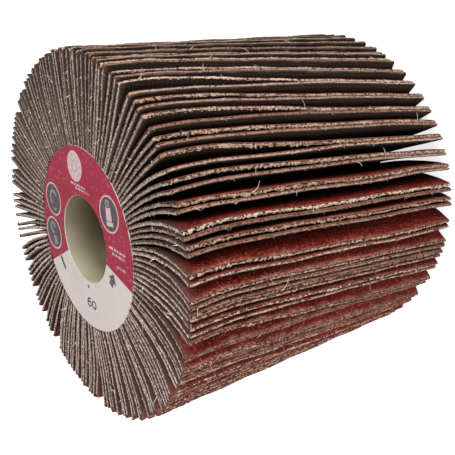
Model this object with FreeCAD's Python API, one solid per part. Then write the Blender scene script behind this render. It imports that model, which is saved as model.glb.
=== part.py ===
"""Drum flap wheel: a ring of abrasive cloth flaps potted round a plastic sleeve, standing on its rear end.

Millimetres and degrees. The origin is the centre of the rear end, +Z runs along the bore to the labelled
front end, and +Y points to the top of the label's print. Clock angles run anticlockwise from +X, as seen
from the front end.
"""

import FreeCAD
import Part

import math
import os

# Sleeve and bore
DRUM_WIDTH = 100.0
BORE_RADIUS = 12.7
BORE_CHAMFER = 0.3
SLEEVE_WALL = 2.6

# Flaps and the resin that holds their roots
DRUM_RADIUS = 53.5
POTTING_RADIUS = 24.0
FLAP_COUNT = 136
ROOT_CLEARANCE = 0.16

# End discs and label
END_DISC_RADIUS = 27.2
END_DISC_THICKNESS = 2.0
DISC_BORE_CLEARANCE = 0.1
LABEL_THICKNESS = 0.25
LABEL_HOLE_CLEARANCE = 0.1
END_RECESS = 0.3

# How the flaps stand: the bow at half height, the unevenness in lean, and how much shorter a worn flap is
MID_BOW_ANGLE = 0.9
TIP_JITTER_ANGLE = 0.25
TIP_WEAR = 0.5
FLANK_SHARES = (0.0, 0.5, 1.0)

# Where the flaps part: (clock angle of the roots, lean of the tip just before it, lean just after it)
PARTING_ANGLES = (
    (3.5, -5.0, -3.2), (9.3, -4.5, -1.0), (18.8, -2.6, -0.8), (24.0, -1.6, 0.2), (33.0, -1.2, 1.2),
    (43.0, 0.2, 2.2), (53.0, 1.4, 4.4), (63.0, 3.4, 4.6), (78.0, 1.8, 2.8), (97.0, -0.4, 1.0),
    (120.0, -1.8, 0.6), (128.0, -0.8, 1.4), (139.0, -1.0, 2.2), (155.0, -0.4, 0.6), (164.0, 0.0, 2.8),
    (172.0, 1.6, 4.2), (180.0, 3.2, 5.6), (188.0, 4.4, 7.0), (198.0, 5.2, 7.0), (208.0, 5.2, 7.0),
    (218.0, 4.8, 7.0), (230.0, 5.4, 9.0), (272.0, -2.6, 1.6), (285.0, -0.6, 0.8), (294.0, -1.4, 0.4),
    (303.0, -1.6, 0.4), (313.0, -1.8, 0.2), (330.0, -5.5, -3.0), (341.5, -5.5, -4.0),
    (346.2, -5.0, -0.8), (352.0, -2.2, -1.4),
)

SLEEVE_RADIUS = BORE_RADIUS + SLEEVE_WALL
FLAP_PITCH_ANGLE = 360.0 / FLAP_COUNT
FLAP_THICKNESS = math.tau * POTTING_RADIUS / FLAP_COUNT - ROOT_CLEARANCE
FRONT_DISC_TOP = DRUM_WIDTH - END_RECESS - LABEL_THICKNESS
REAR_DISC_BOTTOM = END_RECESS
AXIS = FreeCAD.Vector(0, 0, 1)


def ring(inner, outer, bottom, height):
    """A flat-ended ring about the axis."""
    foot = FreeCAD.Vector(0, 0, bottom)
    return Part.makeCylinder(outer, height, foot, AXIS).cut(Part.makeCylinder(inner, height, foot, AXIS))


def tip_lean(root):
    """How far the tip of the flap rooted at this clock angle stands round from its root.

    The lean runs straight from just after one parting to just before the next.
    """
    first = PARTING_ANGLES[0]
    rows = (*PARTING_ANGLES, (first[0] + 360.0, first[1], first[2]))
    clock = root if root >= first[0] else root + 360.0
    for (start, _, leaving), (end, arriving, _) in zip(rows, rows[1:]):
        if start <= clock < end:
            share = (clock - start) / (end - start)
            return leaving + share * (arriving - leaving)
    raise ValueError("no parting covers this clock angle")


def flap_edge(index, share, side):
    """A point on one side of a flap's section, at a share of its height from root to tip.

    The middle line leaves the potting squarely, bows out at half height and curls over with the square of
    the height. side is 1 or -1.
    """
    root = index * FLAP_PITCH_ANGLE
    jitter = TIP_JITTER_ANGLE * math.sin(2.4 * index + 1.7 * math.sin(0.9 * index))
    wear = TIP_WEAR * (0.5 + 0.5 * math.sin(3.1 * index))
    radius = POTTING_RADIUS + share * (DRUM_RADIUS - wear - POTTING_RADIUS)
    bend = (tip_lean(root) + jitter) * share**2 + MID_BOW_ANGLE * 4.0 * share * (1.0 - share)
    angle = math.radians(root + bend)
    outward = FreeCAD.Vector(math.cos(angle), math.sin(angle), 0)
    around = FreeCAD.Vector(-math.sin(angle), math.cos(angle), 0)
    return outward * radius + around * (side * FLAP_THICKNESS / 2.0)


def flap_section():
    """The outline of all the flaps, up one side and down the other, with the potting between their roots."""
    corners = []
    for index in range(FLAP_COUNT):
        corners += [flap_edge(index, share, -1) for share in FLANK_SHARES]
        corners += [flap_edge(index, share, 1) for share in reversed(FLANK_SHARES)]
    return Part.makePolygon([*corners, corners[0]])


def core_sleeve():
    """The moulded sleeve with the bore, chamfered at both mouths."""
    sleeve = ring(BORE_RADIUS, SLEEVE_RADIUS, REAR_DISC_BOTTOM, FRONT_DISC_TOP - REAR_DISC_BOTTOM)
    wide = BORE_RADIUS + BORE_CHAMFER
    rear = FreeCAD.Vector(0, 0, REAR_DISC_BOTTOM)
    front = FreeCAD.Vector(0, 0, FRONT_DISC_TOP - BORE_CHAMFER)
    sleeve = sleeve.cut(Part.makeCone(wide, BORE_RADIUS, BORE_CHAMFER, rear, AXIS))
    return sleeve.cut(Part.makeCone(BORE_RADIUS, wide, BORE_CHAMFER, front, AXIS))


def flap_pack():
    """Every flap with the potting resin that joins them, and the pockets for the end discs."""
    hole = Part.Wire(Part.makeCircle(SLEEVE_RADIUS, FreeCAD.Vector(0, 0, 0), AXIS))
    face = Part.makeFace([flap_section(), hole], "Part::FaceMakerBullseye")
    pack = face.extrude(AXIS * DRUM_WIDTH)
    pocket = END_RECESS + END_DISC_THICKNESS
    rear = Part.makeCylinder(END_DISC_RADIUS, pocket)
    depth = pocket + LABEL_THICKNESS
    front = Part.makeCylinder(END_DISC_RADIUS, depth, FreeCAD.Vector(0, 0, DRUM_WIDTH - depth), AXIS)
    return pack.cut([rear, front])


def end_disc(bottom):
    """A pressed board disc that closes the potting at one end."""
    return ring(SLEEVE_RADIUS + DISC_BORE_CLEARANCE, END_DISC_RADIUS, bottom, END_DISC_THICKNESS)


def front_label():
    """The printed paper ring stuck over the front disc and the end of the sleeve."""
    hole = BORE_RADIUS + BORE_CHAMFER + LABEL_HOLE_CLEARANCE
    return ring(hole, END_DISC_RADIUS, FRONT_DISC_TOP, LABEL_THICKNESS)


def main():
    pieces = {
        "core_sleeve": core_sleeve(),
        "flap_pack": flap_pack(),
        "front_end_disc": end_disc(FRONT_DISC_TOP - END_DISC_THICKNESS),
        "rear_end_disc": end_disc(REAR_DISC_BOTTOM),
        "front_label": front_label(),
    }
    os.makedirs("parts", exist_ok=True)
    for name, shape in pieces.items():
        shape.exportStep(f"parts/{name}.step")
        print(name, len(shape.Solids), round(shape.Volume, 1), shape.isValid())


main()
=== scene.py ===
"""The looks of the drum flap wheel: every cloth flap with its grit, backing and cut edges, the potting, the
moulded sleeve, the board discs and the printed label.

Millimetres, in the row frame: the origin is the centre of the rear end, +Z runs up the bore to the labelled
front end and +Y is the top of the print. Clock angles run anticlockwise from +X, seen from the front end.
"""

import math

import bpy
import numpy as np
from mathutils import Euler, Matrix, Vector


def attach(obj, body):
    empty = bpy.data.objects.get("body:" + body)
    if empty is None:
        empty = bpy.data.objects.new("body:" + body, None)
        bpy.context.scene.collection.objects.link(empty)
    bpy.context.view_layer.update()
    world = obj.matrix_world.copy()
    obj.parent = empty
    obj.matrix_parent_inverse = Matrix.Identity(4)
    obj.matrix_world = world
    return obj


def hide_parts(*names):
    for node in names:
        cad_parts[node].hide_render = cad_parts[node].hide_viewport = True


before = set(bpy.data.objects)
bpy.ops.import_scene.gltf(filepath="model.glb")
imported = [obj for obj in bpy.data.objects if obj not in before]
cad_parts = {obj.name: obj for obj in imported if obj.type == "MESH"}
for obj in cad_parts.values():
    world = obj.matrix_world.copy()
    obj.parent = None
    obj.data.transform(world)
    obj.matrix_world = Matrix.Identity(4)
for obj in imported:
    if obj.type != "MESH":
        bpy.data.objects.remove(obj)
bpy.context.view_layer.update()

MM = 0.001
rng = np.random.default_rng(60)

# Sizes, the same as the solids'
DRUM_WIDTH = 100.0
BORE_RADIUS = 12.7
SLEEVE_RADIUS = 15.3
POTTING_RADIUS = 24.0
FLAP_COUNT = 136
DISC_RADIUS = 27.2
DISC_THICKNESS = 2.0
LABEL_THICKNESS = 0.25
END_RECESS = 0.3
LABEL_TOP = DRUM_WIDTH - END_RECESS
FRONT_DISC_TOP = LABEL_TOP - LABEL_THICKNESS
POCKET_DEPTH = END_RECESS + DISC_THICKNESS + LABEL_THICKNESS

# Sizes that differ a little: the flaps leave room for the lips on their tips, and the label reaches the bore
DRUM_RADIUS = 53.3
FLAP_THICKNESS = 0.93
LABEL_HOLE = 12.85

# Room round the discs, and how far the flaps' feet go into the potting
DISC_BORE_CLEARANCE = 0.1
DISC_RIM_CLEARANCE = 0.1
FOOT_SINK = 0.4

# Where the flaps part: (clock angle of the roots, lean of the tip just before it, lean just after it)
PARTINGS = np.array((
    (3.5, -5.0, -3.2), (9.3, -4.5, -1.0), (18.8, -2.6, -0.8), (24.0, -1.6, 0.2), (33.0, -1.2, 1.2),
    (43.0, 0.2, 2.2), (53.0, 1.4, 4.4), (63.0, 3.4, 4.6), (78.0, 1.8, 2.8), (97.0, -0.4, 1.0),
    (120.0, -1.8, 0.6), (128.0, -0.8, 1.4), (139.0, -1.0, 2.2), (155.0, -0.4, 0.6), (164.0, 0.0, 2.8),
    (172.0, 1.6, 4.2), (180.0, 3.2, 5.6), (188.0, 4.4, 7.0), (198.0, 5.2, 7.0), (208.0, 5.2, 7.0),
    (218.0, 4.8, 7.0), (230.0, 5.4, 9.0), (272.0, -2.6, 1.6), (285.0, -0.6, 0.8), (294.0, -1.4, 0.4),
    (303.0, -1.6, 0.4), (313.0, -1.8, 0.2), (330.0, -5.5, -3.0), (341.5, -5.5, -4.0),
    (346.2, -5.0, -0.8), (352.0, -2.2, -1.4),
))

# How far the tips drift round from the front end to the rear: (clock angle, degrees)
DRIFT = np.array((
    (3, 9.0), (20, 6.5), (40, 9.0), (60, 11.5), (90, 9.0), (150, 7.0), (210, 7.0), (300, 10.0), (340, 13.0),
    (350, 11.0),
))

# How the flaps lie, in degrees: uneven tips that curl at the front end, a bow at half height that grows
# near one clock angle, and the room that the tips keep from each other, alone and in pairs
TIP_JITTER_ANGLE = 0.25
TIP_CURL_ANGLE = 0.6
MID_BOW_ANGLE = 0.9
EXTRA_BOW_ANGLE = 1.6
EXTRA_BOW_CLOCK = 2.0
EXTRA_BOW_SPREAD = 24.0
TIP_CLEARANCE_ANGLE = 0.1
PAIR_GAP_ANGLE = 0.42

# Where along the flaps they curl, skew and close up in pairs, and how long their slow waves are
TIP_CURL_DEPTH = 4.0
SKEW_START = 12.0
CLOSING_START = 10.0
CLOSING_LENGTH = 55.0
LONG_WAVE = 17.0
SHORT_WAVE = 7.5

# How many of the loose threads stand on the tips, and the height they stay above, clear of the floor
TIP_THREAD_SHARE = 0.72
LOWEST_THREAD = 0.02


# Colours and materials

def hexed(colour):
    """An sRGB hex colour as linear red, green, blue and alpha."""
    parts = np.array([int(colour[i:i + 2], 16) / 255.0 for i in (1, 3, 5)])
    linear = np.where(parts <= 0.04045, parts / 12.92, ((parts + 0.055) / 1.055) ** 2.4)
    return (*linear.tolist(), 1.0)


def add(tree, kind, inputs=None, **settings):
    """Adds a node: settings are its properties, inputs are socket values or the sockets that feed them."""
    node = tree.nodes.new(kind)
    for name, value in settings.items():
        setattr(node, name, value)
    for name, value in (inputs or {}).items():
        if isinstance(value, bpy.types.NodeSocket):
            tree.links.new(value, node.inputs[name])
        else:
            node.inputs[name].default_value = value
    return node


def material(name):
    """A new material and its node tree, which is empty."""
    made = bpy.data.materials.new(name)
    made.use_nodes = True
    made.node_tree.nodes.clear()
    return made, made.node_tree


def finish_material(tree, shader):
    """Feeds the shader to the material's output."""
    add(tree, "ShaderNodeOutputMaterial", {"Surface": shader.outputs["BSDF"]})


def repeats(size):
    """The scale of a pattern whose features are this many millimetres across: how many fit in a metre."""
    return 1000.0 / size


def grit_material():
    """Aluminium-oxide grains in phenolic resin: matt red-brown, with pale and dark grains that catch light.

    Real grains of this grade are 0.25 mm; they are drawn at 0.45 mm so that they show. UV x is the radius:
    just below the tip some grains are rubbed pale and dusty. Farther down the grit is painted dark, as
    shade in the gap to the next flap, the sooner the narrower that gap, which the attribute gap_ahead gives
    in millimetres. Near the front end it is painted dark brown, as shade in the gaps between the flaps.
    """
    made, tree = material("aluminium_oxide_grit")
    place = add(tree, "ShaderNodeTexCoord")
    solid = place.outputs["Object"]
    grain = add(tree, "ShaderNodeTexVoronoi", {"Vector": solid, "Scale": repeats(0.45)}, feature="F1")
    tone = add(tree, "ShaderNodeSeparateColor", {"Color": grain.outputs["Color"]})
    patch = add(tree, "ShaderNodeTexNoise", {"Vector": solid, "Scale": repeats(7.0), "Detail": 5.0})
    body = add(tree, "ShaderNodeMix", {0: patch.outputs["Fac"], 6: hexed("#64120f"), 7: hexed("#aa2a20")},
               data_type="RGBA")
    radius = add(tree, "ShaderNodeSeparateXYZ", {"Vector": place.outputs["UV"]})
    ragged = add(tree, "ShaderNodeMath", {0: patch.outputs["Fac"], 1: 3.0 * MM, 2: radius.outputs["X"]},
                 operation="MULTIPLY_ADD")
    tint = add(tree, "ShaderNodeAttribute", attribute_name="flap_tint").outputs["Fac"]
    reach = add(tree, "ShaderNodeMath", {0: tint, 1: 1.6 * MM, 2: ragged.outputs[0]},
                operation="MULTIPLY_ADD")
    near_tip = add(tree, "ShaderNodeMapRange", {"Value": reach.outputs[0], "From Min": 54.2 * MM,
                                                "From Max": 56.0 * MM}, interpolation_type="SMOOTHSTEP")
    broken = add(tree, "ShaderNodeMapRange", {"Value": tone.outputs["Blue"], "From Min": 0.25,
                                              "From Max": 0.6, "To Min": 0.3})
    rubbed = add(tree, "ShaderNodeMath", {0: near_tip.outputs[0], 1: broken.outputs[0]}, operation="MULTIPLY")
    height = add(tree, "ShaderNodeSeparateXYZ", {"Vector": solid}).outputs["Z"]
    # Painted shade: the last few millimetres at the front end darken, for the shade in the gaps between the
    # flaps
    front_end_painted_shade = add(tree, "ShaderNodeMapRange", {"Value": height, "From Min": 96.0 * MM, "From Max": 99.8 * MM,
                                                "To Max": 0.75}, interpolation_type="SMOOTHSTEP")
    # Painted shade: the grit darkens below its tip as shade in the gap to the next flap, the narrower the
    # sooner
    gap = add(tree, "ShaderNodeAttribute", attribute_name="gap_ahead").outputs["Fac"]
    widening = add(tree, "ShaderNodeMath", {0: gap, 1: 0.25 * MM, 2: 0.5 * MM}, operation="MULTIPLY_ADD")
    open_depth = add(tree, "ShaderNodeMath", {0: gap, 1: widening.outputs[0], 2: 0.35 * MM},
                     operation="MULTIPLY_ADD")
    uneven = add(tree, "ShaderNodeMath", {0: patch.outputs["Fac"], 1: 1.2 * MM, 2: radius.outputs["X"]},
                 operation="MULTIPLY_ADD")
    below = add(tree, "ShaderNodeMath", {0: 53.9 * MM, 1: uneven.outputs[0]}, operation="SUBTRACT")
    buried = add(tree, "ShaderNodeMath", {0: below.outputs[0], 1: open_depth.outputs[0]}, operation="DIVIDE")
    painted_gap_shade = add(tree, "ShaderNodeMapRange", {"Value": buried.outputs[0], "From Min": 0.28, "From Max": 1.25},
               interpolation_type="SMOOTHSTEP")
    worn = add(tree, "ShaderNodeMix", {0: rubbed.outputs[0], 6: body.outputs[2], 7: hexed("#cfa68c")},
               data_type="RGBA")
    dark = add(tree, "ShaderNodeMapRange", {"Value": tone.outputs["Red"], "From Min": 0.3, "From Max": 1.0,
                                            "To Max": 0.8})
    darker = add(tree, "ShaderNodeMix", {0: dark.outputs[0], 6: worn.outputs[2], 7: hexed("#2a0f0b")},
                 data_type="RGBA")
    light = add(tree, "ShaderNodeMapRange", {"Value": tone.outputs["Green"], "From Min": 0.78,
                                             "From Max": 1.0, "To Max": 0.7})
    grains = add(tree, "ShaderNodeMix", {0: light.outputs[0], 6: darker.outputs[2], 7: hexed("#cc6e58")},
                 data_type="RGBA")
    # Painted shade colour in the gaps, laid over the grit's own colour
    shaded = add(tree, "ShaderNodeMix", {0: painted_gap_shade.outputs[0], 6: grains.outputs[2], 7: hexed("#260a08")},
                 data_type="RGBA")
    # The front end's painted shade goes on last
    painted_shading = add(tree, "ShaderNodeMix", {0: front_end_painted_shade.outputs[0], 6: shaded.outputs[2], 7: hexed("#4a2e27")},
                 data_type="RGBA")
    bump = add(tree, "ShaderNodeBump", {"Height": grain.outputs["Distance"], "Strength": 0.8,
                                        "Distance": 0.1 * MM}, invert=True)
    shader = add(tree, "ShaderNodeBsdfPrincipled", {"Base Color": painted_shading.outputs[2], "Roughness": 0.62,
                                                    "Specular IOR Level": 0.3, "Normal": bump.outputs[0]})
    finish_material(tree, shader)
    return made


def backing_material():
    """Stiffened cotton backing cloth: dull dark brown twill with blotches of size, dusty near its cut edges.

    The twill is drawn at 1.38 mm from thread to thread, coarser than it is, so that it shows. A wave texture
    turns through 20 radians in each unit of its scale.
    """
    made, tree = material("cotton_backing_cloth")
    place = add(tree, "ShaderNodeTexCoord")
    flat = place.outputs["UV"]
    radius = add(tree, "ShaderNodeSeparateXYZ", {"Vector": flat})
    wave_scale = repeats(1.381) * math.tau / 20.0
    weft = add(tree, "ShaderNodeTexWave", {"Vector": flat, "Scale": wave_scale, "Distortion": 1.5},
               bands_direction="X")
    warp = add(tree, "ShaderNodeTexWave", {"Vector": flat, "Scale": wave_scale, "Distortion": 1.5},
               bands_direction="Y")
    weave = add(tree, "ShaderNodeMath", {0: weft.outputs["Fac"], 1: warp.outputs["Fac"]},
                operation="MULTIPLY")
    blotch = add(tree, "ShaderNodeTexNoise", {"Vector": place.outputs["Object"], "Scale": repeats(5.0),
                                              "Detail": 5.0, "Roughness": 0.65})
    cloth = add(tree, "ShaderNodeMix", {0: blotch.outputs["Fac"], 6: hexed("#231a15"), 7: hexed("#3c2f26")},
                data_type="RGBA")
    threads = add(tree, "ShaderNodeMix", {0: weave.outputs[0], 6: cloth.outputs[2], 7: hexed("#463a30")},
                  data_type="RGBA")
    ragged = add(tree, "ShaderNodeMath", {0: blotch.outputs["Fac"], 1: 2.5 * MM, 2: radius.outputs["X"]},
                 operation="MULTIPLY_ADD")
    rubbed = add(tree, "ShaderNodeMapRange", {"Value": ragged.outputs[0], "From Min": 53.8 * MM,
                                              "From Max": 55.2 * MM}, interpolation_type="SMOOTHSTEP")
    height = add(tree, "ShaderNodeSeparateXYZ", {"Vector": place.outputs["Object"]}).outputs["Z"]
    end_dust = add(tree, "ShaderNodeMapRange", {"Value": height, "From Min": 97.2 * MM,
                                                "From Max": 100.2 * MM, "To Max": 0.3},
                   interpolation_type="SMOOTHSTEP")
    dust = add(tree, "ShaderNodeMath", {0: rubbed.outputs[0], 1: end_dust.outputs[0]}, operation="MAXIMUM")
    worn = add(tree, "ShaderNodeMix", {0: dust.outputs[0], 6: threads.outputs[2], 7: hexed("#8c7b6f")},
               data_type="RGBA")
    bump = add(tree, "ShaderNodeBump", {"Height": weave.outputs[0], "Strength": 0.25, "Distance": 0.1 * MM})
    shader = add(tree, "ShaderNodeBsdfPrincipled", {"Base Color": worn.outputs[2], "Roughness": 0.85,
                                                    "Specular IOR Level": 0.2, "Normal": bump.outputs[0]})
    finish_material(tree, shader)
    return made


def cut_edge_material():
    """The cut edge of a flap, in three bands across its thickness: pale cloth threads, a toothed dark line of
    glue, and the grit layer, which is rubbed pale at the tip and left dark on the two ends.

    UV x runs along the edge and UV y across it, from the backing at -0.47 mm to the grit at 0.47 mm. The ends
    are painted palest low on the drum and greyer towards its top, as the light and shade that fall on them.
    """
    made, tree = material("cut_cloth_edge")
    place = add(tree, "ShaderNodeTexCoord")
    solid, flat = place.outputs["Object"], place.outputs["UV"]
    across = add(tree, "ShaderNodeSeparateXYZ", {"Vector": flat}).outputs["Y"]
    fibre = add(tree, "ShaderNodeTexNoise", {"Vector": solid, "Scale": repeats(0.5), "Detail": 3.0,
                                             "Roughness": 0.7})
    teeth = add(tree, "ShaderNodeTexNoise", {"Vector": solid, "Scale": repeats(0.7), "Detail": 2.0})
    speck = add(tree, "ShaderNodeTexVoronoi", {"Vector": solid, "Scale": repeats(0.5)}, feature="F1")
    tone = add(tree, "ShaderNodeSeparateColor", {"Color": speck.outputs["Color"]})
    tint = add(tree, "ShaderNodeAttribute", attribute_name="flap_tint").outputs["Fac"]
    tip_mark = add(tree, "ShaderNodeAttribute", attribute_name="at_tip").outputs["Fac"]
    tip_range = add(tree, "ShaderNodeMapRange", {"Value": tip_mark, "From Min": 0.9, "From Max": 1.0})
    at_tip = tip_range.outputs[0]
    # Painted light and shade: the ends are paler low on the drum and greyer towards its top
    level = add(tree, "ShaderNodeSeparateXYZ", {"Vector": solid}).outputs["Y"]
    painted_shading = add(tree, "ShaderNodeMapRange", {"Value": level, "From Min": -48.0 * MM, "From Max": 20.0 * MM,
                                              "To Min": -0.6, "To Max": 0.35})
    grey = add(tree, "ShaderNodeMath", {0: tint, 1: painted_shading.outputs[0]}, operation="ADD", use_clamp=True)
    end_tone = add(tree, "ShaderNodeMix", {0: grey.outputs[0], 6: hexed("#d6c8ba"), 7: hexed("#9a8c83")},
                   data_type="RGBA")
    tip_tone = add(tree, "ShaderNodeMix", {0: tint, 6: hexed("#5c4034"), 7: hexed("#32201a")},
                   data_type="RGBA")
    pale = add(tree, "ShaderNodeMix", {0: at_tip, 6: end_tone.outputs[2], 7: tip_tone.outputs[2]},
               data_type="RGBA")
    spread = add(tree, "ShaderNodeMapRange", {"Value": fibre.outputs["Fac"], "From Min": 0.4,
                                              "From Max": 0.56})
    cloth = add(tree, "ShaderNodeMix", {0: spread.outputs[0], 6: hexed("#57402f"), 7: pale.outputs[2]},
                data_type="RGBA")
    end_ground = add(tree, "ShaderNodeMix", {0: grey.outputs[0], 6: hexed("#917466"), 7: hexed("#62463c")},
                     data_type="RGBA")
    ground = add(tree, "ShaderNodeMix", {0: at_tip, 6: end_ground.outputs[2], 7: hexed("#7e4c3a")},
                 data_type="RGBA")
    red = add(tree, "ShaderNodeMapRange", {"Value": tone.outputs["Green"], "From Min": 0.8, "From Max": 1.0})
    layer = add(tree, "ShaderNodeMix", {0: red.outputs[0], 6: ground.outputs[2], 7: hexed("#73352a")},
                data_type="RGBA")
    shift = add(tree, "ShaderNodeMath", {0: at_tip, 1: 0.26 * MM, 2: across}, operation="MULTIPLY_ADD")
    side = add(tree, "ShaderNodeMapRange", {"Value": shift.outputs[0], "From Min": 0.2 * MM,
                                            "From Max": 0.32 * MM})
    bands = add(tree, "ShaderNodeMix", {0: side.outputs[0], 6: cloth.outputs[2], 7: layer.outputs[2]},
                data_type="RGBA")
    off = add(tree, "ShaderNodeMath", {0: shift.outputs[0], 1: 0.24 * MM}, operation="SUBTRACT")
    away = add(tree, "ShaderNodeMath", {0: off.outputs[0]}, operation="ABSOLUTE")
    toothed = add(tree, "ShaderNodeMath", {0: tint, 1: 0.12, 2: teeth.outputs["Fac"]},
                  operation="MULTIPLY_ADD")
    width = add(tree, "ShaderNodeMapRange", {"Value": toothed.outputs[0], "From Min": 0.48, "From Max": 0.72,
                                             "To Min": 0.02 * MM, "To Max": 0.28 * MM})
    inside = add(tree, "ShaderNodeMath", {0: width.outputs[0], 1: away.outputs[0]}, operation="SUBTRACT")
    line = add(tree, "ShaderNodeMapRange", {"Value": inside.outputs[0], "From Min": -0.03 * MM,
                                            "From Max": 0.05 * MM})
    glued = add(tree, "ShaderNodeMix", {0: line.outputs[0], 6: bands.outputs[2], 7: hexed("#2a1712")},
                data_type="RGBA")
    bump = add(tree, "ShaderNodeBump", {"Height": fibre.outputs["Fac"], "Strength": 0.8,
                                        "Distance": 0.2 * MM})
    shader = add(tree, "ShaderNodeBsdfPrincipled", {"Base Color": glued.outputs[2], "Roughness": 0.9,
                                                    "Specular IOR Level": 0.2, "Normal": bump.outputs[0]})
    finish_material(tree, shader)
    return made


def frayed_material(name, pale, worn, bareness):
    """The lip of a tip: knots of pale cotton, with dark glue and red grit between them.

    UV y runs across the lip, from the threads on the backing side at less than -0.47 mm to the grit, where
    less cotton shows. The cotton is painted darker high on the drum, as shade.
    """
    made, tree = material(name)
    place = add(tree, "ShaderNodeTexCoord")
    solid = place.outputs["Object"]
    across = add(tree, "ShaderNodeSeparateXYZ", {"Vector": place.outputs["UV"]}).outputs["Y"]
    knots = add(tree, "ShaderNodeTexNoise", {"Vector": solid, "Scale": repeats(0.85), "Detail": 3.0,
                                             "Roughness": 0.7})
    patch = add(tree, "ShaderNodeTexNoise", {"Vector": solid, "Scale": repeats(5.0), "Detail": 2.0})
    tint = add(tree, "ShaderNodeAttribute", attribute_name="flap_tint").outputs["Fac"]
    # Painted shade: the cotton is darker towards the top of the drum
    level = add(tree, "ShaderNodeSeparateXYZ", {"Vector": solid}).outputs["Y"]
    painted_shading = add(tree, "ShaderNodeMapRange", {"Value": level, "From Min": 0.0, "From Max": 48.0 * MM,
                                              "To Max": 0.3})
    grey = add(tree, "ShaderNodeMath", {0: tint, 1: painted_shading.outputs[0]}, operation="ADD", use_clamp=True)
    cloth = add(tree, "ShaderNodeMix", {0: grey.outputs[0], 6: hexed(pale), 7: hexed(worn)}, data_type="RGBA")
    glue = add(tree, "ShaderNodeMix", {0: patch.outputs["Fac"], 6: hexed("#160906"), 7: hexed("#56281c")},
               data_type="RGBA")
    lean = add(tree, "ShaderNodeMath", {0: across, 1: -0.26 / MM, 2: knots.outputs["Fac"]},
               operation="MULTIPLY_ADD")
    shown = add(tree, "ShaderNodeMapRange", {"Value": lean.outputs[0], "From Min": bareness - 0.045,
                                              "From Max": bareness + 0.05})
    body = add(tree, "ShaderNodeMix", {0: shown.outputs[0], 6: glue.outputs[2], 7: cloth.outputs[2]},
               data_type="RGBA")
    bump = add(tree, "ShaderNodeBump", {"Height": knots.outputs["Fac"], "Strength": 0.9,
                                        "Distance": 0.3 * MM})
    shader = add(tree, "ShaderNodeBsdfPrincipled", {"Base Color": body.outputs[2], "Roughness": 0.9,
                                                    "Specular IOR Level": 0.2, "Normal": bump.outputs[0]})
    finish_material(tree, shader)
    return made


def plain_material(name, low, high, size, roughness, rough_bump=0.05):
    """A matt stuff whose colour wanders between two tones over patches of this size, with fine bumps."""
    made, tree = material(name)
    place = add(tree, "ShaderNodeTexCoord").outputs["Object"]
    patch = add(tree, "ShaderNodeTexNoise", {"Vector": place, "Scale": repeats(size), "Detail": 6.0,
                                             "Roughness": 0.6})
    body = add(tree, "ShaderNodeMix", {0: patch.outputs["Fac"], 6: hexed(low), 7: hexed(high)},
               data_type="RGBA")
    bump = add(tree, "ShaderNodeBump", {"Height": patch.outputs["Fac"], "Strength": 0.4,
                                        "Distance": rough_bump * MM})
    shader = add(tree, "ShaderNodeBsdfPrincipled", {"Base Color": body.outputs[2], "Roughness": roughness,
                                                    "Normal": bump.outputs[0]})
    finish_material(tree, shader)
    return made


def bore_material():
    """The moulded sleeve's resin: a plain grey-green beige with a faint sheen, with painted shade down the
    bore.

    It fades to painted light towards the mouth, most on the side towards the foot of the print.
    """
    made, tree = material("moulded_sleeve_resin")
    solid = add(tree, "ShaderNodeTexCoord").outputs["Object"]
    cloud = add(tree, "ShaderNodeTexNoise", {"Vector": solid, "Scale": repeats(14.0), "Detail": 4.0})
    resin_own_colour = add(tree, "ShaderNodeMix", {0: cloud.outputs["Fac"], 6: hexed("#a19a80"), 7: hexed("#b3ac90")},
                data_type="RGBA")
    # Painted shade: darker down the bore, paler towards the mouth
    height = add(tree, "ShaderNodeSeparateXYZ", {"Vector": solid}).outputs["Z"]
    wander = add(tree, "ShaderNodeMath", {0: cloud.outputs["Fac"], 1: 3.0 * MM, 2: height},
                 operation="MULTIPLY_ADD")
    mouth = add(tree, "ShaderNodeMapRange", {"Value": wander.outputs[0], "From Min": 92.0 * MM,
                                             "From Max": 102.0 * MM}, interpolation_type="SMOOTHSTEP")
    # Painted light: palest on the wall towards the foot of the print
    side = add(tree, "ShaderNodeSeparateXYZ", {"Vector": solid}).outputs["Y"]
    painted_low_side_light = add(tree, "ShaderNodeMapRange", {"Value": side, "From Min": -12.0 * MM, "From Max": 2.0 * MM,
                                             "To Min": 1.0, "To Max": 0.3})
    shown = add(tree, "ShaderNodeMath", {0: mouth.outputs[0], 1: painted_low_side_light.outputs[0]}, operation="MULTIPLY")
    # The painted shade's colour, laid over the resin's own colour
    tone = add(tree, "ShaderNodeMix", {0: shown.outputs[0], 6: hexed("#62573f"), 7: resin_own_colour.outputs[2]},
               data_type="RGBA")
    shader = add(tree, "ShaderNodeBsdfPrincipled", {"Base Color": tone.outputs[2], "Roughness": 0.5})
    finish_material(tree, shader)
    return made


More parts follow.
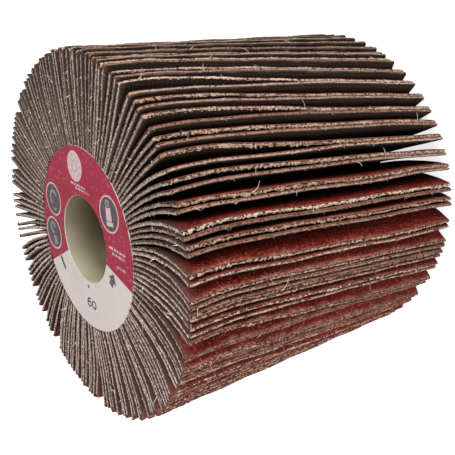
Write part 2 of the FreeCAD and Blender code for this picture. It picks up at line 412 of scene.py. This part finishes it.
def printed_paper(name, low, high, fleck, bareness):
    """Coated label paper with a slight sheen: even print that is rubbed through in small flecks."""
    made, tree = material(name)
    place = add(tree, "ShaderNodeTexCoord").outputs["Object"]
    patch = add(tree, "ShaderNodeTexNoise", {"Vector": place, "Scale": repeats(8.0), "Detail": 4.0})
    body = add(tree, "ShaderNodeMix", {0: patch.outputs["Fac"], 6: hexed(low), 7: hexed(high)},
               data_type="RGBA")
    scuff = add(tree, "ShaderNodeTexNoise", {"Vector": place, "Scale": repeats(0.8), "Detail": 6.0,
                                             "Roughness": 0.75})
    rubbed = add(tree, "ShaderNodeMapRange", {"Value": scuff.outputs["Fac"], "From Min": bareness - 0.07,
                                              "From Max": bareness + 0.06})
    print_tone = add(tree, "ShaderNodeMix", {0: rubbed.outputs[0], 6: body.outputs[2], 7: hexed(fleck)},
                     data_type="RGBA")
    bump = add(tree, "ShaderNodeBump", {"Height": scuff.outputs["Fac"], "Strength": 0.25,
                                        "Distance": 0.03 * MM})
    shader = add(tree, "ShaderNodeBsdfPrincipled", {"Base Color": print_tone.outputs[2], "Roughness": 0.42,
                                                    "Specular IOR Level": 0.4, "Normal": bump.outputs[0]})
    finish_material(tree, shader)
    return made


# Meshes

def grid_faces(rows, columns, wrap=False):
    """Quads of a grid of points numbered row by row, joined round in the column direction if it wraps."""
    row = np.arange(rows - 1)[:, None]
    column = np.arange(columns if wrap else columns - 1)[None, :]
    after = (column + 1) % columns
    corners = (row * columns + column, row * columns + after, (row + 1) * columns + after,
               (row + 1) * columns + column)
    return np.stack(np.broadcast_arrays(*corners), -1).reshape(-1, 4)


def make_piece(name, points, faces, materials, which=None, smooth=True, uv=None):
    """A mesh object from arrays: points in millimetres, quads, one material number for each face."""
    mesh = bpy.data.meshes.new(name)
    mesh.from_pydata((np.asarray(points, float) * MM).tolist(), [], np.asarray(faces).tolist())
    for one in materials:
        mesh.materials.append(one)
    if which is not None:
        mesh.polygons.foreach_set("material_index", np.asarray(which, np.int32))
    mesh.polygons.foreach_set("use_smooth", np.full(len(mesh.polygons), smooth))
    if uv is not None:
        layer = mesh.uv_layers.new(name="flat")
        loops = np.empty(len(mesh.loops), np.int32)
        mesh.loops.foreach_get("vertex_index", loops)
        layer.data.foreach_set("uv", (np.asarray(uv, float) * MM)[loops].ravel())
    mesh.update()
    piece = bpy.data.objects.new(name, mesh)
    bpy.context.scene.collection.objects.link(piece)
    return piece


def lathe(name, profile, materials, steps=192, smooth=True):
    """Turns a profile of (radius, height) points round the axis: x = r cos a, y = r sin a, z = height.

    The profile is closed from its last point to its first.
    """
    profile = np.concatenate([profile, profile[:1]])
    around = np.arange(steps) * math.tau / steps
    radius, height = profile[:, 0][:, None], profile[:, 1][:, None]
    points = np.stack([radius * np.cos(around), radius * np.sin(around), height + 0 * around], -1)
    faces = grid_faces(len(profile), steps, wrap=True)
    return make_piece(name, points.reshape(-1, 3), faces, materials, smooth=smooth)


# The flaps

def tip_lean(root):
    """The lean of the tips: straight lines between the partings, and a jump at each of them."""
    clock = np.repeat(PARTINGS[:, 0], 2) + np.tile([-0.001, 0.001], len(PARTINGS))
    return np.interp(root, clock, PARTINGS[:, 1:].ravel(), period=360)


# Each flap's own numbers: clock angles and leans in degrees, sizes in millimetres, and seeded luck
index = np.arange(FLAP_COUNT)
roots = index * 360.0 / FLAP_COUNT
tips = roots + tip_lean(roots) + TIP_JITTER_ANGLE * np.sin(2.4 * index + 1.7 * np.sin(0.9 * index))
thick_angle = math.degrees(FLAP_THICKNESS / DRUM_RADIUS)
room_after = (np.roll(tips, -1) - tips) % 360.0 - thick_angle - TIP_CLEARANCE_ANGLE
even = index % 2 == 0
pair_room = np.where(even, room_after, np.roll(room_after, 1))
outer_room = np.where(even, np.roll(room_after, 1), room_after)
pair_shift = np.where(even, 0.5, -0.5) * np.clip(pair_room - PAIR_GAP_ANGLE, 0.0, 4.0)
partner_room = np.where(even, np.roll(outer_room, -1), np.roll(outer_room, 1))
sway = 0.25 * np.clip(np.minimum(outer_room, partner_room), 0.0, 2.5)
drift = np.interp(roots, DRIFT[:, 0], DRIFT[:, 1], period=360)
from_extra_bow = (roots - EXTRA_BOW_CLOCK + 180.0) % 360.0 - 180.0
bow = MID_BOW_ANGLE + EXTRA_BOW_ANGLE * np.exp(-(from_extra_bow / EXTRA_BOW_SPREAD) ** 2)
wear = 0.45 * (0.5 + 0.5 * np.sin(3.1 * index)) + 0.1 * rng.random(FLAP_COUNT)
corner = 0.3 + 0.9 * rng.random(FLAP_COUNT) ** 2
phase = rng.random((4, FLAP_COUNT)) * math.tau
phase[:2] = phase[:2, index // 2]
tint = rng.random(FLAP_COUNT)
front_recess = 0.1 + 0.5 * rng.random(FLAP_COUNT) ** 2
rear_recess = 0.05 + 0.3 * rng.random(FLAP_COUNT) ** 2


def flap_angle(i, depth, share):
    """Clock angle of flap i's middle surface, at a depth back from the front end and a share of its height.

    root - skew share (2 - share) + lean share^2 + bow 4 share (1 - share), where the lean is the tip's own at
    the front end less a curl in the last few millimetres, and the skew is the drift towards the rear. Towards
    the rear the flaps close up in pairs, and each pair sways slowly, never further than the room it has.
    """
    back = np.clip((depth - SKEW_START) / (DRUM_WIDTH - SKEW_START), 0.0, 1.0)
    skew = drift[i] * back**1.15 * share * (2.0 - share)
    lean = tips[i] - roots[i] - TIP_CURL_ANGLE * np.exp(-depth / TIP_CURL_DEPTH)
    slow = np.sin(phase[0][i] + depth / LONG_WAVE) * 0.6 + np.sin(phase[1][i] + depth / SHORT_WAVE) * 0.4
    closing = np.clip((depth - CLOSING_START) / CLOSING_LENGTH, 0.0, 1.0)
    lean = lean + pair_shift[i] * closing**2 * (3.0 - 2.0 * closing) + sway[i] * slow
    return roots[i] - skew + lean * share**2 + bow[i] * 4.0 * share * (1.0 - share)


def tip_radius(i, depth):
    """Radius of the tip: the drum's, less wear, less a rounded corner at each end, with a slow unevenness."""
    radius = DRUM_RADIUS - wear[i] - 0.12 * (1.0 + np.sin(phase[2][i] + depth / 3.1))
    for near, size in ((depth, corner[i]), (DRUM_WIDTH - depth, 0.4 * corner[i])):
        inside = np.clip(size - near, 0.0, size)
        radius = radius - (size - np.sqrt(np.clip(size**2 - inside**2, 0.0, None)))
    return radius


def flap_point(i, depth, share, side):
    """A point of flap i: across the thickness from the middle surface, which stands at flap_angle.

    share runs from the potting, or the end disc's rim near the two ends, out to the tip, and side from -1 on
    the backing to 1 on the grit.
    """
    by_disc = (depth < POCKET_DEPTH) | (depth > DRUM_WIDTH - POCKET_DEPTH)
    foot = np.where(by_disc, DISC_RADIUS + DISC_RIM_CLEARANCE, POTTING_RADIUS - FOOT_SINK)
    tip = tip_radius(i, depth)
    radius = foot + share * (tip - foot)
    angle = np.radians(flap_angle(i, depth, (radius - POTTING_RADIUS) / (tip - POTTING_RADIUS)))
    across = side * FLAP_THICKNESS / 2.0
    edge = np.sin(phase[3][i] + radius * 0.9) * 0.08
    start, end = front_recess[i] + edge, DRUM_WIDTH - rear_recess[i]
    height = DRUM_WIDTH - np.clip(depth, start, end)
    return np.stack([radius * np.cos(angle) - across * np.sin(angle),
                     radius * np.sin(angle) + across * np.cos(angle), height + 0 * across], -1)


def flap_pieces(grit, backing, edge):
    """Every flap as two broad sides and a cut edge that runs up the front, along the tip and down the rear.

    A side's grid has a row for each share of the height and a column for each depth. Three attributes go with
    the points: the flap's own tint, whether a point is at the tip, and on the grit side the gap at the tip,
    in millimetres, to the next flap, which sets the grit's painted shade.
    """
    depths = np.array([0, 0.5, 1.2, 2.5, 2.6, 4, 6, 10, 15, 21, 28, 35, 42, 49, 56, 63, 70, 77, 84, 90, 94.5,
                       97.4, 97.5, 99.0, DRUM_WIDTH])
    shares = np.array([0.0, 0.22, 0.45, 0.68, 0.86, 1.0])
    flap = np.arange(FLAP_COUNT)[:, None, None]
    depth = depths[None, None, :]
    share = shares[None, :, None]
    rows, columns = len(shares), len(depths)
    side_faces = grid_faces(rows, columns)
    rim_depth = np.concatenate([np.full(rows - 1, depths[0]), depths, np.full(rows - 1, depths[-1])])
    rim_share = np.concatenate([shares[:-1], np.ones(columns), shares[-2::-1]])
    sides = np.array([-1.0, 1.0])
    rim = flap_point(flap, rim_depth[None, None, :], rim_share[None, None, :], sides[None, :, None])
    rim_faces = grid_faces(2, len(rim_depth))
    front = flap_point(flap, depth, share, np.array(1.0))
    back = flap_point(flap, depth, share, np.array(-1.0))
    per = rows * columns
    points = np.concatenate([front.reshape(FLAP_COUNT, -1, 3), back.reshape(FLAP_COUNT, -1, 3),
                             rim.reshape(FLAP_COUNT, -1, 3)], 1)
    one = np.concatenate([side_faces, side_faces[:, ::-1] + per, rim_faces + 2 * per])
    which = np.repeat([0, 1, 2], [len(side_faces), len(side_faces), len(rim_faces)])
    total = points.shape[1]
    faces = (one[None] + (np.arange(FLAP_COUNT) * total)[:, None, None]).reshape(-1, 4)
    uv = np.stack([np.linalg.norm(points[..., :2], axis=-1), points[..., 2]], -1)
    uv[..., 1] += 13.7 * np.arange(FLAP_COUNT)[:, None]
    rim_path = np.concatenate([[0.0], np.cumsum(np.linalg.norm(np.diff(rim[0, 0], axis=0), axis=1))])
    uv[:, 2 * per:, 0] = np.tile(rim_path, 2)
    uv[:, 2 * per:, 1] = np.repeat(sides * FLAP_THICKNESS / 2.0, len(rim_depth))
    piece = make_piece("flaps", points.reshape(-1, 3), faces, [grit, backing, edge],
                       np.tile(which, FLAP_COUNT), uv=uv.reshape(-1, 2))
    at_tip = np.zeros((FLAP_COUNT, total))
    at_tip[:, 2 * per:] = np.tile(rim_share > 0.99, 2)
    clock = flap_angle(index[:, None], depths[None, :], 1.0)
    pitch = np.radians((np.roll(clock, -1, axis=0) - clock) % 360.0) * DRUM_RADIUS
    gap_ahead = np.zeros((FLAP_COUNT, total))
    gap_ahead[:, :per] = np.tile(np.clip(pitch - FLAP_THICKNESS, 0.0, 8.0), (1, rows))
    for name, values in (("flap_tint", np.repeat(tint, total)), ("at_tip", at_tip.ravel()),
                         ("gap_ahead", gap_ahead.ravel())):
        tone = piece.data.attributes.new(name, "FLOAT", "POINT")
        tone.data.foreach_set("value", values.astype(np.float32))
    return piece


def tip_lips(name, chosen, columns, width, fraying, colour, seed):
    """The lips along the tips of the chosen flaps: rounded bands whose threads hang over the backing side.

    Each cross-section has four points, moved by seeded noise: the hanging thread ends, two on the crown and
    one on the grit side. The fraying is the longest tooth in millimetres and the width is a share of the
    flap's.
    """
    luck = np.random.default_rng(seed)
    many = len(chosen)
    flap = chosen[:, None]
    depth = np.linspace(0.2, DRUM_WIDTH - 0.2, columns)[None, :]
    noise = luck.random((3, many, columns))
    amount = fraying * (0.6 + 0.7 * luck.random(many))[:, None]
    wander = 2.0 * np.sin(depth / 9.0 + phase[3][flap])
    slow = 0.5 + 0.5 * np.sin(phase[0][flap] * 5.0 + depth / 4.3 + wander)
    hang = amount * (0.08 + noise[0] ** 2 * (0.3 + 0.7 * slow))
    half = FLAP_THICKNESS / 2.0 * width
    back_crown = -0.5 * half + 0.2 * amount * (noise[1] - 0.5)
    across = np.stack(np.broadcast_arrays(-half - hang, back_crown, 0.45 * half,
                                          half * (0.7 + 0.4 * noise[1])), 1)
    rise = np.stack(np.broadcast_arrays(-0.05 - 0.6 * noise[2] * amount, 0.1 + 0.12 * noise[0],
                                        0.08 + 0.12 * noise[2], -0.25), 1)
    radius = tip_radius(flap, depth)[:, None, :] + rise
    angle = np.radians(flap_angle(flap, depth, 1.0))[:, None, :]
    height = np.broadcast_to(DRUM_WIDTH - depth[:, None, :], across.shape)
    points = np.stack([radius * np.cos(angle) - across * np.sin(angle),
                       radius * np.sin(angle) + across * np.cos(angle), height], -1)
    faces = grid_faces(4, columns)[None] + (np.arange(many) * 4 * columns)[:, None, None]
    uv = np.stack([np.broadcast_to(depth[:, None, :], across.shape), across], -1)
    piece = make_piece(name, points.reshape(-1, 3), faces.reshape(-1, 4), [colour], uv=uv.reshape(-1, 2))
    tone = piece.data.attributes.new("flap_tint", "FLOAT", "POINT")
    tone.data.foreach_set("value", np.repeat(tint[chosen], 4 * columns).astype(np.float32))
    return piece


def threads(name, count, length, thickness, sideways, colour, seed):
    """Loose cotton threads that stand out of the cut edges: bent three-sided tubes that taper.

    The middle line is base + along t + outward t (2 - t) + sideways t^2, for t from 0 to 1. Those that don't
    stand on the tips stand on the front ends.
    """
    luck = np.random.default_rng(seed)
    flap = luck.integers(0, FLAP_COUNT, count)
    at_tip = luck.random(count) < TIP_THREAD_SHARE
    depth = np.where(at_tip, luck.random(count) * DRUM_WIDTH, 0.0)
    share = np.where(at_tip, 1.0, 0.12 + 0.86 * luck.random(count))
    base = flap_point(flap, depth, share, luck.random(count) * 1.2 - 1.0)
    angle = np.arctan2(base[:, 1], base[:, 0])
    radial = np.stack([np.cos(angle), np.sin(angle), 0 * angle], -1)
    around = np.stack([-np.sin(angle), np.cos(angle), 0 * angle], -1)
    upward = np.array([0.0, 0.0, 1.0])
    out = np.where(at_tip[:, None], radial, upward)
    along = np.where(at_tip[:, None], upward, radial)
    size = (length * (0.35 + luck.random(count)))[:, None]
    run = size * (luck.random(count) * 1.6 - 0.8)[:, None] * along
    rise = size * (0.05 + 0.28 * luck.random(count) ** 2)[:, None] * out
    bend = size * sideways * (luck.random(count) * 2.0 - 1.0)[:, None] * around
    t = np.linspace(0.0, 1.0, 4)[None, :, None]
    line = base[:, None] + run[:, None] * t + rise[:, None] * t * (2.0 - t) + bend[:, None] * t**2
    turn = np.arange(3) * math.tau / 3.0
    ring = (radial[:, None, None] * np.cos(turn)[None, None, :, None]
            + around[:, None, None] * np.sin(turn)[None, None, :, None])
    taper = (thickness * (1.0 - 0.75 * t))[:, :, None]
    points = line[:, :, None] + ring * taper
    points[..., 2] = np.maximum(points[..., 2], LOWEST_THREAD)
    one = grid_faces(4, 3, wrap=True)
    faces = (one[None] + (np.arange(count) * 12)[:, None, None]).reshape(-1, 4)
    return make_piece(name, points.reshape(-1, 3), faces, [colour])


# Pieces

def belongs(piece, node):
    """Puts a piece on the one body, in place of a node of the solids, which it hides."""
    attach(piece, "root")
    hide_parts(node)


def ring_corners(inner, outer, low, high):
    """The section of a ring: a rectangle, from its inner lower corner round by the outer side."""
    return np.array([(inner, low), (outer, low), (outer, high), (inner, high)])


def rounded(corners, size):
    """A section with each corner replaced by three points of a small round."""
    before, after = np.roll(corners, 1, 0) - corners, np.roll(corners, -1, 0) - corners
    before /= np.linalg.norm(before, axis=1)[:, None]
    after /= np.linalg.norm(after, axis=1)[:, None]
    middle = corners + (before + after) * size * 0.3
    return np.stack([corners + before * size, middle, corners + after * size], 1).reshape(-1, 2)


grit = grit_material()
backing = backing_material()
edge = cut_edge_material()
# Cotton of the lips: pale and knotted where it frays, darker and closed where it is rubbed flat
frayed = frayed_material("frayed_cotton_edge", "#ead4be", "#a5836c", 0.505)
smoother = frayed_material("rubbed_cotton_edge", "#d2b8a6", "#8e6e5e", 0.46)
# Cotton pulled loose from the weave: matt and pale, and palest where it stands clear of the dust
cotton = plain_material("cotton_thread", "#b89a86", "#ecd8c8", 1.0, 0.9)
pale_cotton = plain_material("bleached_cotton_thread", "#e2d0c2", "#f6ece2", 1.0, 0.9)
# Poured resin that has set: dark brown with a dull sheen, seen only between the flaps
resin = plain_material("potting_resin", "#2a1f19", "#4a382d", 2.0, 0.6)
moulding = bore_material()
# Pressed fibre board: grey-brown, coarse and dull
board = plain_material("pressed_fibre_board", "#6f5d47", "#94805f", 0.8, 0.85, 0.1)
# Offset print on coated paper: flat colour with a slight sheen, rubbed through in flecks
red_paper = printed_paper("red_printed_paper", "#8f1f35", "#a1273f", "#c4848c", 0.635)
white_paper = printed_paper("bare_white_paper", "#c2b7b5", "#d4ccc9", "#b0a6a3", 0.66)
pale_ink = printed_paper("pale_print", "#bfa9a9", "#ccb9b8", "#a8545f", 0.62)
dark_ink = printed_paper("dark_print", "#4b4044", "#5b4f52", "#9a8d8e", 0.64)
grey_print = printed_paper("grey_print", "#857c7b", "#9a908e", "#5b4f52", 0.58)
rubbed_ink = printed_paper("rubbed_print", "#a88488", "#b59497", "#ccb9b8", 0.6)
faint_print = printed_paper("faint_small_print", "#b07f88", "#d9c3c4", "#9a2b3f", 0.58)
grey_ink = printed_paper("worn_grey_print", "#4f4546", "#625757", "#b3a6a4", 0.62)

flaps = flap_pieces(grit, backing, edge)
frayed_lips = tip_lips("frayed_lips", index[~even], 290, 0.85, 0.6, frayed, 21)
plain_lips = tip_lips("plain_lips", index[even], 130, 0.7, 0.16, smoother, 22)
fuzz = threads("cut_edge_fuzz", 9000, 1.1, 0.11, 0.6, cotton, 11)
strands = threads("loose_threads", 320, 3.2, 0.15, 0.9, pale_cotton, 12)
potting_low = END_RECESS + DISC_THICKNESS
potting_high = FRONT_DISC_TOP - DISC_THICKNESS
potting = lathe("potting_ring", ring_corners(SLEEVE_RADIUS, POTTING_RADIUS, potting_low, potting_high),
                [resin], smooth=False)
for piece in (flaps, frayed_lips, plain_lips, fuzz, strands, potting):
    belongs(piece, "flap_pack")

sleeve = lathe("moulded_sleeve", rounded(ring_corners(BORE_RADIUS, SLEEVE_RADIUS, END_RECESS, FRONT_DISC_TOP),
                                         0.15), [moulding])
belongs(sleeve, "core_sleeve")

for node, low in (("rear_end_disc", END_RECESS), ("front_end_disc", FRONT_DISC_TOP - DISC_THICKNESS)):
    section = ring_corners(SLEEVE_RADIUS + DISC_BORE_CLEARANCE, DISC_RADIUS, low, low + DISC_THICKNESS)
    disc = lathe(f"{node}_board", rounded(section, 0.2), [board])
    belongs(disc, node)

label = lathe("label_paper_ring", rounded(ring_corners(LABEL_HOLE, DISC_RADIUS, FRONT_DISC_TOP, LABEL_TOP),
                                          0.06), [white_paper])
belongs(label, "front_label")


# The print: flat shapes a hair above the paper

# The height of one level of print, and the hole that a full disc has in its middle
PRINT_STEP = 0.012
DOT = 0.001


def arc_patch(centre, inner, outer, start=0.0, end=360.0):
    """Part of a flat ring: x = r cos a, y = r sin a between two radii and two clock angles."""
    angle = np.radians(np.linspace(start, end, 65))
    radius = np.array([outer, inner])[:, None]
    points = np.stack([centre[0] + radius * np.cos(angle), centre[1] + radius * np.sin(angle)], -1)
    return points.reshape(-1, 2), grid_faces(2, 65)


def bar_patch(centre, width, height, tilt=0.0, taper=1.0):
    """A flat bar, tilted by an angle, whose top is narrower than its foot by the taper."""
    x = np.array([[0.5 * taper, -0.5 * taper], [0.5, -0.5]]) * width
    y = np.array([[0.5, 0.5], [-0.5, -0.5]]) * height
    turn = math.radians(tilt)
    points = np.stack([centre[0] + x * math.cos(turn) - y * math.sin(turn),
                       centre[1] + x * math.sin(turn) + y * math.cos(turn)], -1)
    return points.reshape(-1, 2), grid_faces(2, 2)


def ribbon_patch(path, width):
    """A stroke of even width along a path: each point moved half the width to both sides of its direction."""
    path = np.asarray(path, float)
    along = np.gradient(path, axis=0)
    along /= np.linalg.norm(along, axis=1)[:, None]
    side = np.stack([-along[:, 1], along[:, 0]], -1) * width / 2.0
    return np.stack([path - side, path + side]).reshape(-1, 2), grid_faces(2, len(path))


def print_piece(name, patches, ink, level):
    """Joins flat patches into one piece of print at a level above the paper."""
    points, faces, count = [], [], 0
    for flat, quads in patches:
        points.append(np.column_stack([flat, np.full(len(flat), LABEL_TOP + PRINT_STEP * (level + 1))]))
        faces.append(quads + count)
        count += len(flat)
    piece = make_piece(name, np.concatenate(points), np.concatenate(faces), [ink], smooth=False)
    belongs(piece, "front_label")


def curl(centre, radii, start, end, count=33):
    """Points of an ellipse between two clock angles."""
    angle = np.radians(np.linspace(start, end, count))
    return np.stack([centre[0] + radii[0] * np.cos(angle), centre[1] + radii[1] * np.sin(angle)], -1)


def word_row(start, words, tilt, size=0.75):
    """A row of small print, too fine to read: one dash for each word, from a starting place."""
    row, along = [], 0.0
    turn = math.radians(tilt)
    for length in words:
        middle = along + length / 2.0
        place = (start[0] + middle * math.cos(turn), start[1] + middle * math.sin(turn))
        row.append(bar_patch(place, length, size, tilt))
        along += length + 0.45
    return row


# Middles of the round marks, and the fields' radii, which stop just short of the paper's edges
BADGES = ((-18.8, 8.6), (-21.0, -2.6), (16.3, 10.9))
WHEEL_MARK = (-1.8, 21.2)
FIELD_RADII = (LABEL_HOLE + 0.08, DISC_RADIUS - 0.08)
print_piece("white_field", [arc_patch((0, 0), *FIELD_RADII, 207.0, 341.5)], white_paper, 0)
print_piece("red_field", [arc_patch((0, 0), *FIELD_RADII, -18.5, 94.0),
                          arc_patch((0, 0), *FIELD_RADII, 94.0, 207.0)], red_paper, 0)
print_piece("badge_rims", [arc_patch(place, 4.7, 5.2) for place in BADGES], pale_ink, 1)
print_piece("badge_fields", [arc_patch(place, DOT, 4.65) for place in BADGES], dark_ink, 1)
print_piece("badge_marks", [
    arc_patch((-18.6, 9.0), 1.6, 2.6, 20.0, 250.0), arc_patch((-18.3, 6.0), 0.4, 1.1, 180.0, 360.0),
    arc_patch((-21.3, -0.9), 0.9, 2.0, 10.0, 290.0), bar_patch((-20.3, -4.7), 2.6, 2.8, 14.0, 0.7),
    arc_patch((15.8, 13.7), 0.5, 1.2)], grey_print, 2)
print_piece("badge_details", [arc_patch((-18.7, 8.8), DOT, 1.0), arc_patch((-21.4, -1.0), DOT, 0.6)],
            grey_ink, 3)
print_piece("boot_mark", [bar_patch((16.1, 10.9), 3.0, 3.8, 3.0, 0.85),
                          bar_patch((16.5, 8.2), 3.5, 1.2, 3.0)], pale_ink, 2)
spokes = [bar_patch((WHEEL_MARK[0] + 3.2 * math.cos(turn), WHEEL_MARK[1] + 3.2 * math.sin(turn)), 0.35, 1.3,
                    math.degrees(turn) - 90.0) for turn in np.arange(10) * math.tau / 10.0]
print_piece("wheel_mark_field", [arc_patch(WHEEL_MARK, DOT, 4.4)], pale_ink, 1)
print_piece("wheel_mark", [arc_patch(WHEEL_MARK, 1.3, 1.75), *spokes], rubbed_ink, 2)
print_piece("turn_marks", [
    ribbon_patch(curl((0.0, 0.0), (19.9, 19.9), 207.5, 220.5), 1.3),
    ribbon_patch(curl((0.0, 0.0), (17.1, 17.1), 325.0, 332.0), 2.0),
    bar_patch((-0.2, -14.4), 1.0, 0.9, 5.0)], grey_ink, 2)
print_piece("turn_arrowhead", [bar_patch((15.6, -7.2), 4.4, 2.4, -28.0, 0.05)], grey_ink, 3)
print_piece("grade_number", [
    ribbon_patch(np.concatenate([curl((0.1, -19.5), (1.8, 1.4), 75.0, 165.0, 17)[:-4],
                                 curl((-0.6, -19.9), (1.05, 0.75), 165.0, 525.0)]), 0.6),
    ribbon_patch(curl((2.3, -19.5), (1.1, 1.1), 0.0, 360.0, 49), 0.6)], grey_ink, 2)
print_piece("small_lines", [
    *word_row((14.9, 1.6), (2.1, 1.1, 0.7, 1.9, 0.9), -4.0),
    *word_row((16.4, 0.1), (1.2, 0.8, 2.0, 1.3), -4.0),
    *word_row((18.4, -3.2), (1.3, 0.8, 1.4), -4.0),
    *word_row((-5.2, 16.2), (1.6, 1.0, 2.2, 1.2, 0.8), -5.0, 0.6),
    *word_row((-2.6, 15.0), (1.0, 1.9, 0.9, 1.5, 0.9), -5.0, 0.6)], faint_print, 1)


# Room, light and camera

# Where the lights aim, in metres
LIGHT_AIM = (0.0, 0.0, 0.05)

# Half the floor's width, and how far it lies below the drum
FLOOR_HALF = 6000.0
FLOOR_DROP = 0.2

# The camera: its place, its turns about X, Y and Z in degrees, its lens and the width of its sensor
CAMERA_PLACE = (167.02, 57.56, 177.32)
CAMERA_TURNS = (-19.264, 51.669, -2.759)
CAMERA_LENS = 52.24
CAMERA_SENSOR = 36.0


def light(name, place, size, power):
    """A square soft light at a place in metres, turned to where the lights aim."""
    lamp = bpy.data.lights.new(name, "AREA")
    lamp.size = size
    lamp.energy = power
    holder = bpy.data.objects.new(name, lamp)
    holder.location = place
    towards = Vector(LIGHT_AIM) - Vector(place)
    holder.rotation_euler = towards.to_track_quat("-Z", "Y").to_euler()
    bpy.context.scene.collection.objects.link(holder)


def floor_material():
    """A white studio floor: nearly white with soft shadows to the camera, and a dull grey to other light."""
    made, tree = material("pale_studio_floor")
    ray = add(tree, "ShaderNodeLightPath")
    matt = add(tree, "ShaderNodeBsdfDiffuse", {"Color": hexed("#dcdcdc")})
    glow = add(tree, "ShaderNodeEmission", {"Color": (1, 1, 1, 1), "Strength": 0.78})
    seen = add(tree, "ShaderNodeAddShader", {0: matt.outputs[0], 1: glow.outputs[0]})
    dull = add(tree, "ShaderNodeBsdfDiffuse", {"Color": hexed("#b0b0b0")})
    chosen = add(tree, "ShaderNodeMixShader", {0: ray.outputs["Is Camera Ray"], 1: dull.outputs[0],
                                               2: seen.outputs[0]})
    add(tree, "ShaderNodeOutputMaterial", {"Surface": chosen.outputs[0]})
    return made


def studio_world():
    """A white room that lights the drum faintly from all round."""
    made = bpy.data.worlds.new("studio")
    made.use_nodes = True
    tree = made.node_tree
    tree.nodes.clear()
    direct = add(tree, "ShaderNodeLightPath")
    sky = add(tree, "ShaderNodeBackground", {"Color": (1, 1, 1, 1), "Strength": 0.3})
    wall = add(tree, "ShaderNodeBackground", {"Color": (1, 1, 1, 1), "Strength": 1.0})
    around = add(tree, "ShaderNodeMixShader", {0: direct.outputs["Is Camera Ray"], 1: sky.outputs[0],
                                               2: wall.outputs[0]})
    add(tree, "ShaderNodeOutputWorld", {"Surface": around.outputs[0]})
    return made


def photo_camera():
    """The camera that the photo was taken with, as it was fitted to the photo's outlines."""
    lens = bpy.data.cameras.new("photo_camera")
    lens.lens = CAMERA_LENS
    lens.sensor_width = CAMERA_SENSOR
    made = bpy.data.objects.new("photo_camera", lens)
    turned = Euler([math.radians(turn) for turn in CAMERA_TURNS]).to_matrix().to_4x4()
    made.matrix_world = Matrix.Translation(Vector(CAMERA_PLACE) * MM) @ turned
    bpy.context.scene.collection.objects.link(made)
    return made


light("key_light", (0.2, 0.66, 0.68), 0.6, 9.2)
light("fill_light", (0.8, -0.16, 0.28), 0.4, 3.5)
light("low_light", (0.2, -0.3, 0.28), 0.3, 0.3)

floor = make_piece("floor", [(-FLOOR_HALF, -FLOOR_HALF, -FLOOR_DROP), (FLOOR_HALF, -FLOOR_HALF, -FLOOR_DROP),
                             (FLOOR_HALF, FLOOR_HALF, -FLOOR_DROP), (-FLOOR_HALF, FLOOR_HALF, -FLOOR_DROP)],
                   [(0, 1, 2, 3)], [floor_material()], smooth=False)

scene = bpy.context.scene
scene.view_settings.view_transform = "Standard"
scene.world = studio_world()
scene.camera = photo_camera()
